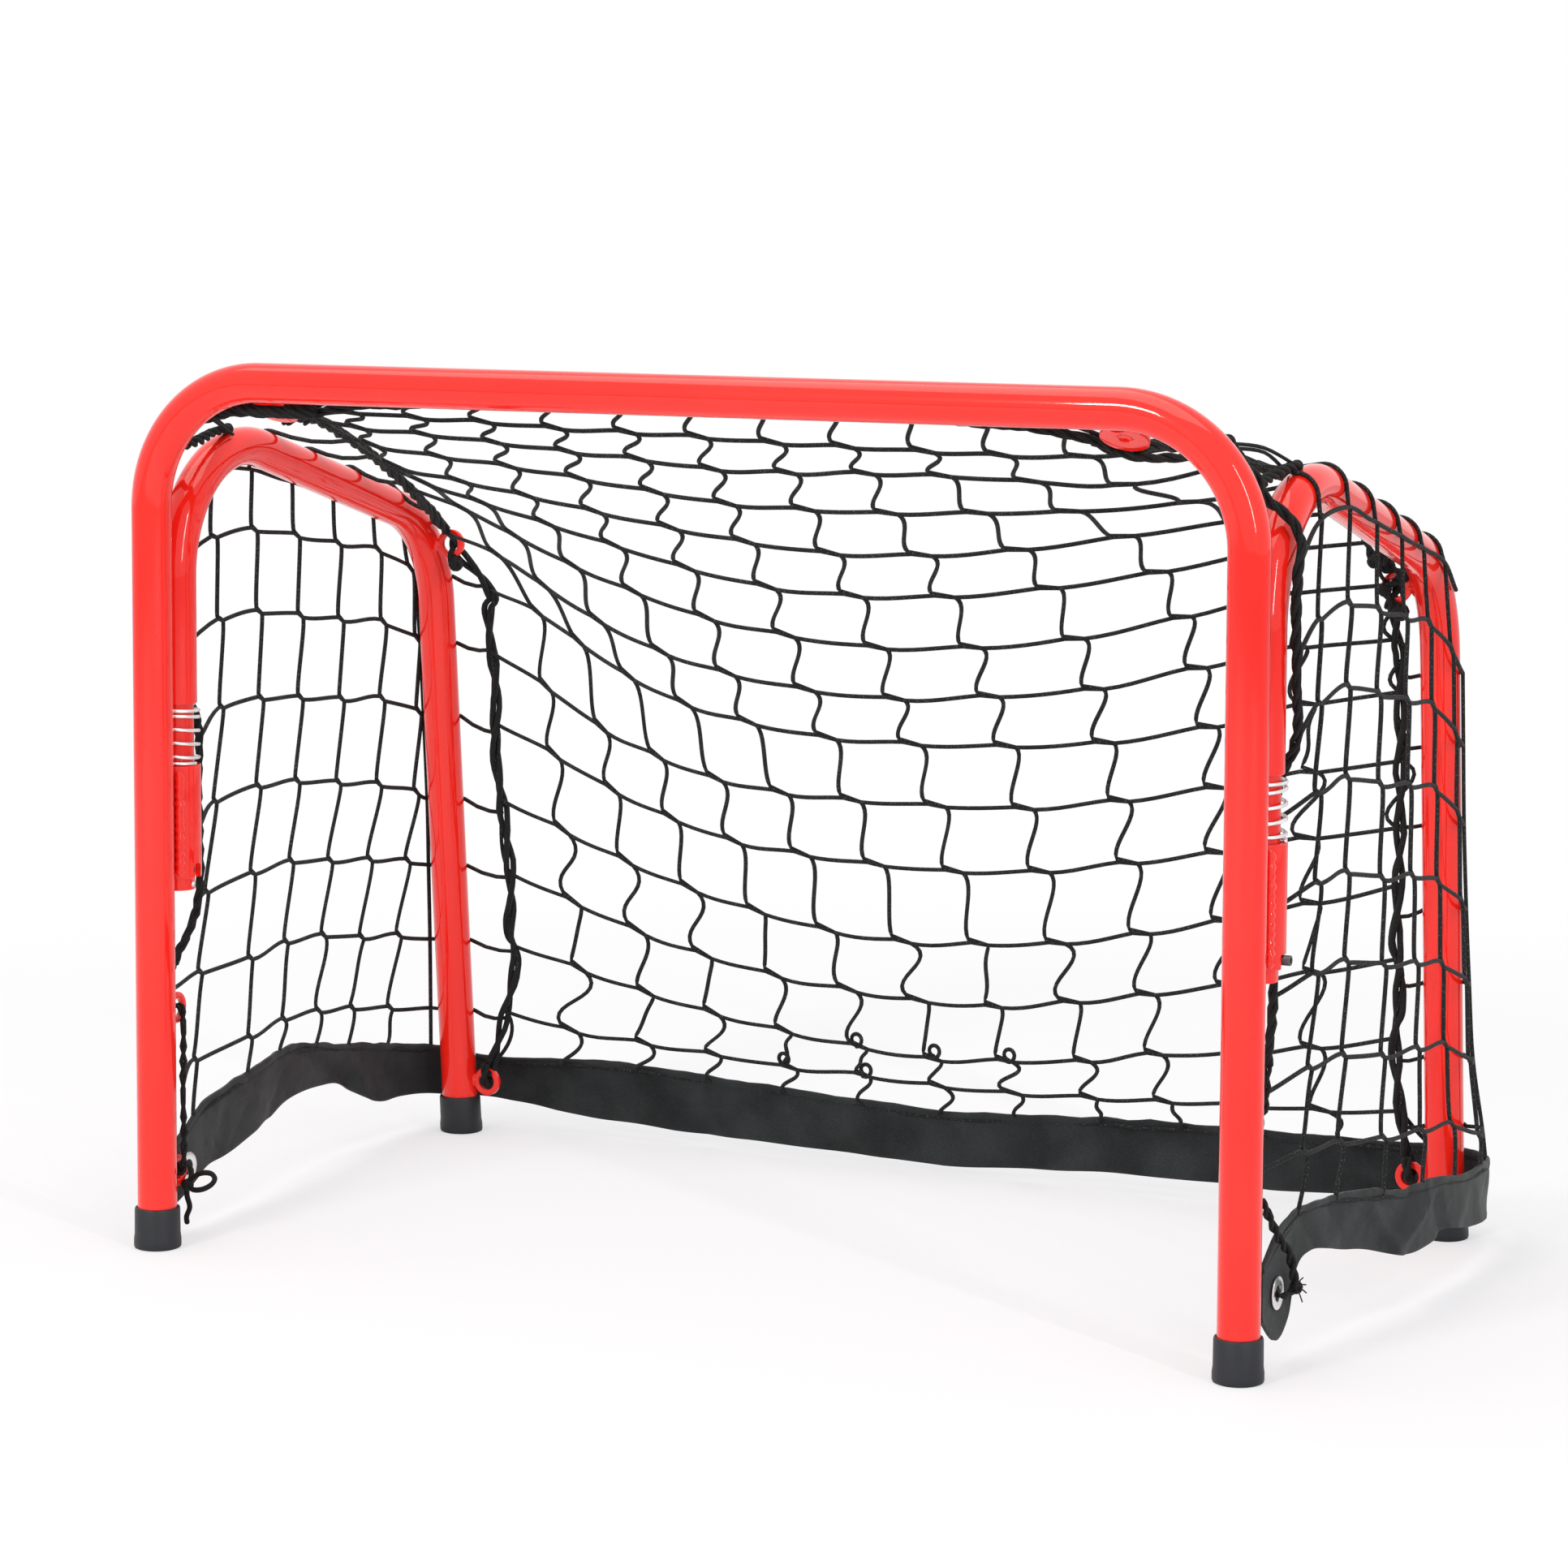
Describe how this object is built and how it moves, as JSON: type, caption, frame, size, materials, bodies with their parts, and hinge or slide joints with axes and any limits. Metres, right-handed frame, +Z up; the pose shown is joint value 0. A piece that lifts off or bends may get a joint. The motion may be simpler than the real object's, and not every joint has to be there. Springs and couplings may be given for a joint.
{
  "type": "mini hockey goal",
  "caption": "Small red steel-tube hockey goal with folding sprung side frames, black knotted net, cloth skirt along the floor and rubber feet.",
  "frame": {"origin": "middle of the footprint, on the floor", "axes": "+X to the goal's right seen from the front, +Y to the back of the goal, +Z up; the mouth opens towards -Y"},
  "size_m": [0.638, 0.347, 0.45],
  "materials": {
    "red_paint": "gloss powder coat",
    "dark_steel": "dark bare steel",
    "bright_spring": "bright",
    "plated_steel": "plated",
    "rubber_feet": "satin",
    "black_net": "knitted cord",
    "black_rope": "knitted cord",
    "skirt_cloth": "satin woven cloth"
  },
  "bodies": {
    "front_frame": {"front_tube": "red_paint", "crossbar_rope": "black_rope", "back_net": "black_net", "skirt": "skirt_cloth", "front_left_cap": "rubber_feet", "left_hinge_sleeve": "red_paint", "left_sleeve_inner_weld": "red_paint", "left_sleeve_outer_weld": "red_paint", "left_post_mid_eye": "red_paint", "left_post_low_eye": "red_paint", "left_crossbar_eye": "red_paint", "left_front_rope": "black_rope", "left_skirt_grommet": "plated_steel", "left_skirt_tie": "black_rope", "front_right_cap": "rubber_feet", "right_hinge_sleeve": "red_paint", "right_sleeve_inner_weld": "red_paint", "right_sleeve_outer_weld": "red_paint", "right_post_mid_eye": "red_paint", "right_post_low_eye": "red_paint", "right_crossbar_eye": "red_paint", "right_front_rope": "black_rope", "right_skirt_grommet": "plated_steel", "right_skirt_tie": "black_rope"},
    "left_carriage": {"left_spring": "bright_spring"},
    "left_side": {"left_side_tube": "red_paint", "rear_left_cap": "rubber_feet", "left_hinge_spigot": "dark_steel", "left_lock_pin": "dark_steel", "left_spigot_rivet": "plated_steel", "left_rear_high_eye": "red_paint", "left_rear_low_eye": "red_paint", "left_rear_rope": "black_rope", "left_side_net": "black_net"},
    "right_carriage": {"right_spring": "bright_spring"},
    "right_side": {"right_side_tube": "red_paint", "rear_right_cap": "rubber_feet", "right_hinge_spigot": "dark_steel", "right_lock_pin": "dark_steel", "right_spigot_rivet": "plated_steel", "right_rear_high_eye": "red_paint", "right_rear_low_eye": "red_paint", "right_rear_rope": "black_rope", "right_side_net": "black_net"}
  },
  "joints": [
    {"name": "left_fold", "type": "hinge", "parent": "front_frame", "child": "left_carriage", "pos_m": [-0.29, -0.13951, 0.2445], "axis": [0, 0, -1], "range_deg": [0, 90], "deforming": ["back_net", "skirt", "left_front_rope", "left_skirt_tie"]},
    {"name": "left_release", "type": "slide", "parent": "left_carriage", "child": "left_side", "axis": [0, 0, -1], "range_m": [0, 0.008], "stiffness_N_per_m": 1500, "springref_m": -0.01, "deforming": ["left_spring", "back_net", "skirt"]},
    {"name": "right_fold", "type": "hinge", "parent": "front_frame", "child": "right_carriage", "pos_m": [0.29, -0.13951, 0.2445], "axis": [0, 0, 1], "range_deg": [0, 77], "deforming": ["back_net", "skirt", "right_front_rope", "right_skirt_tie"]},
    {"name": "right_release", "type": "slide", "parent": "right_carriage", "child": "right_side", "axis": [0, 0, -1], "range_m": [0, 0.008], "stiffness_N_per_m": 1500, "springref_m": -0.01, "deforming": ["right_spring", "back_net", "skirt"]}
  ]
}
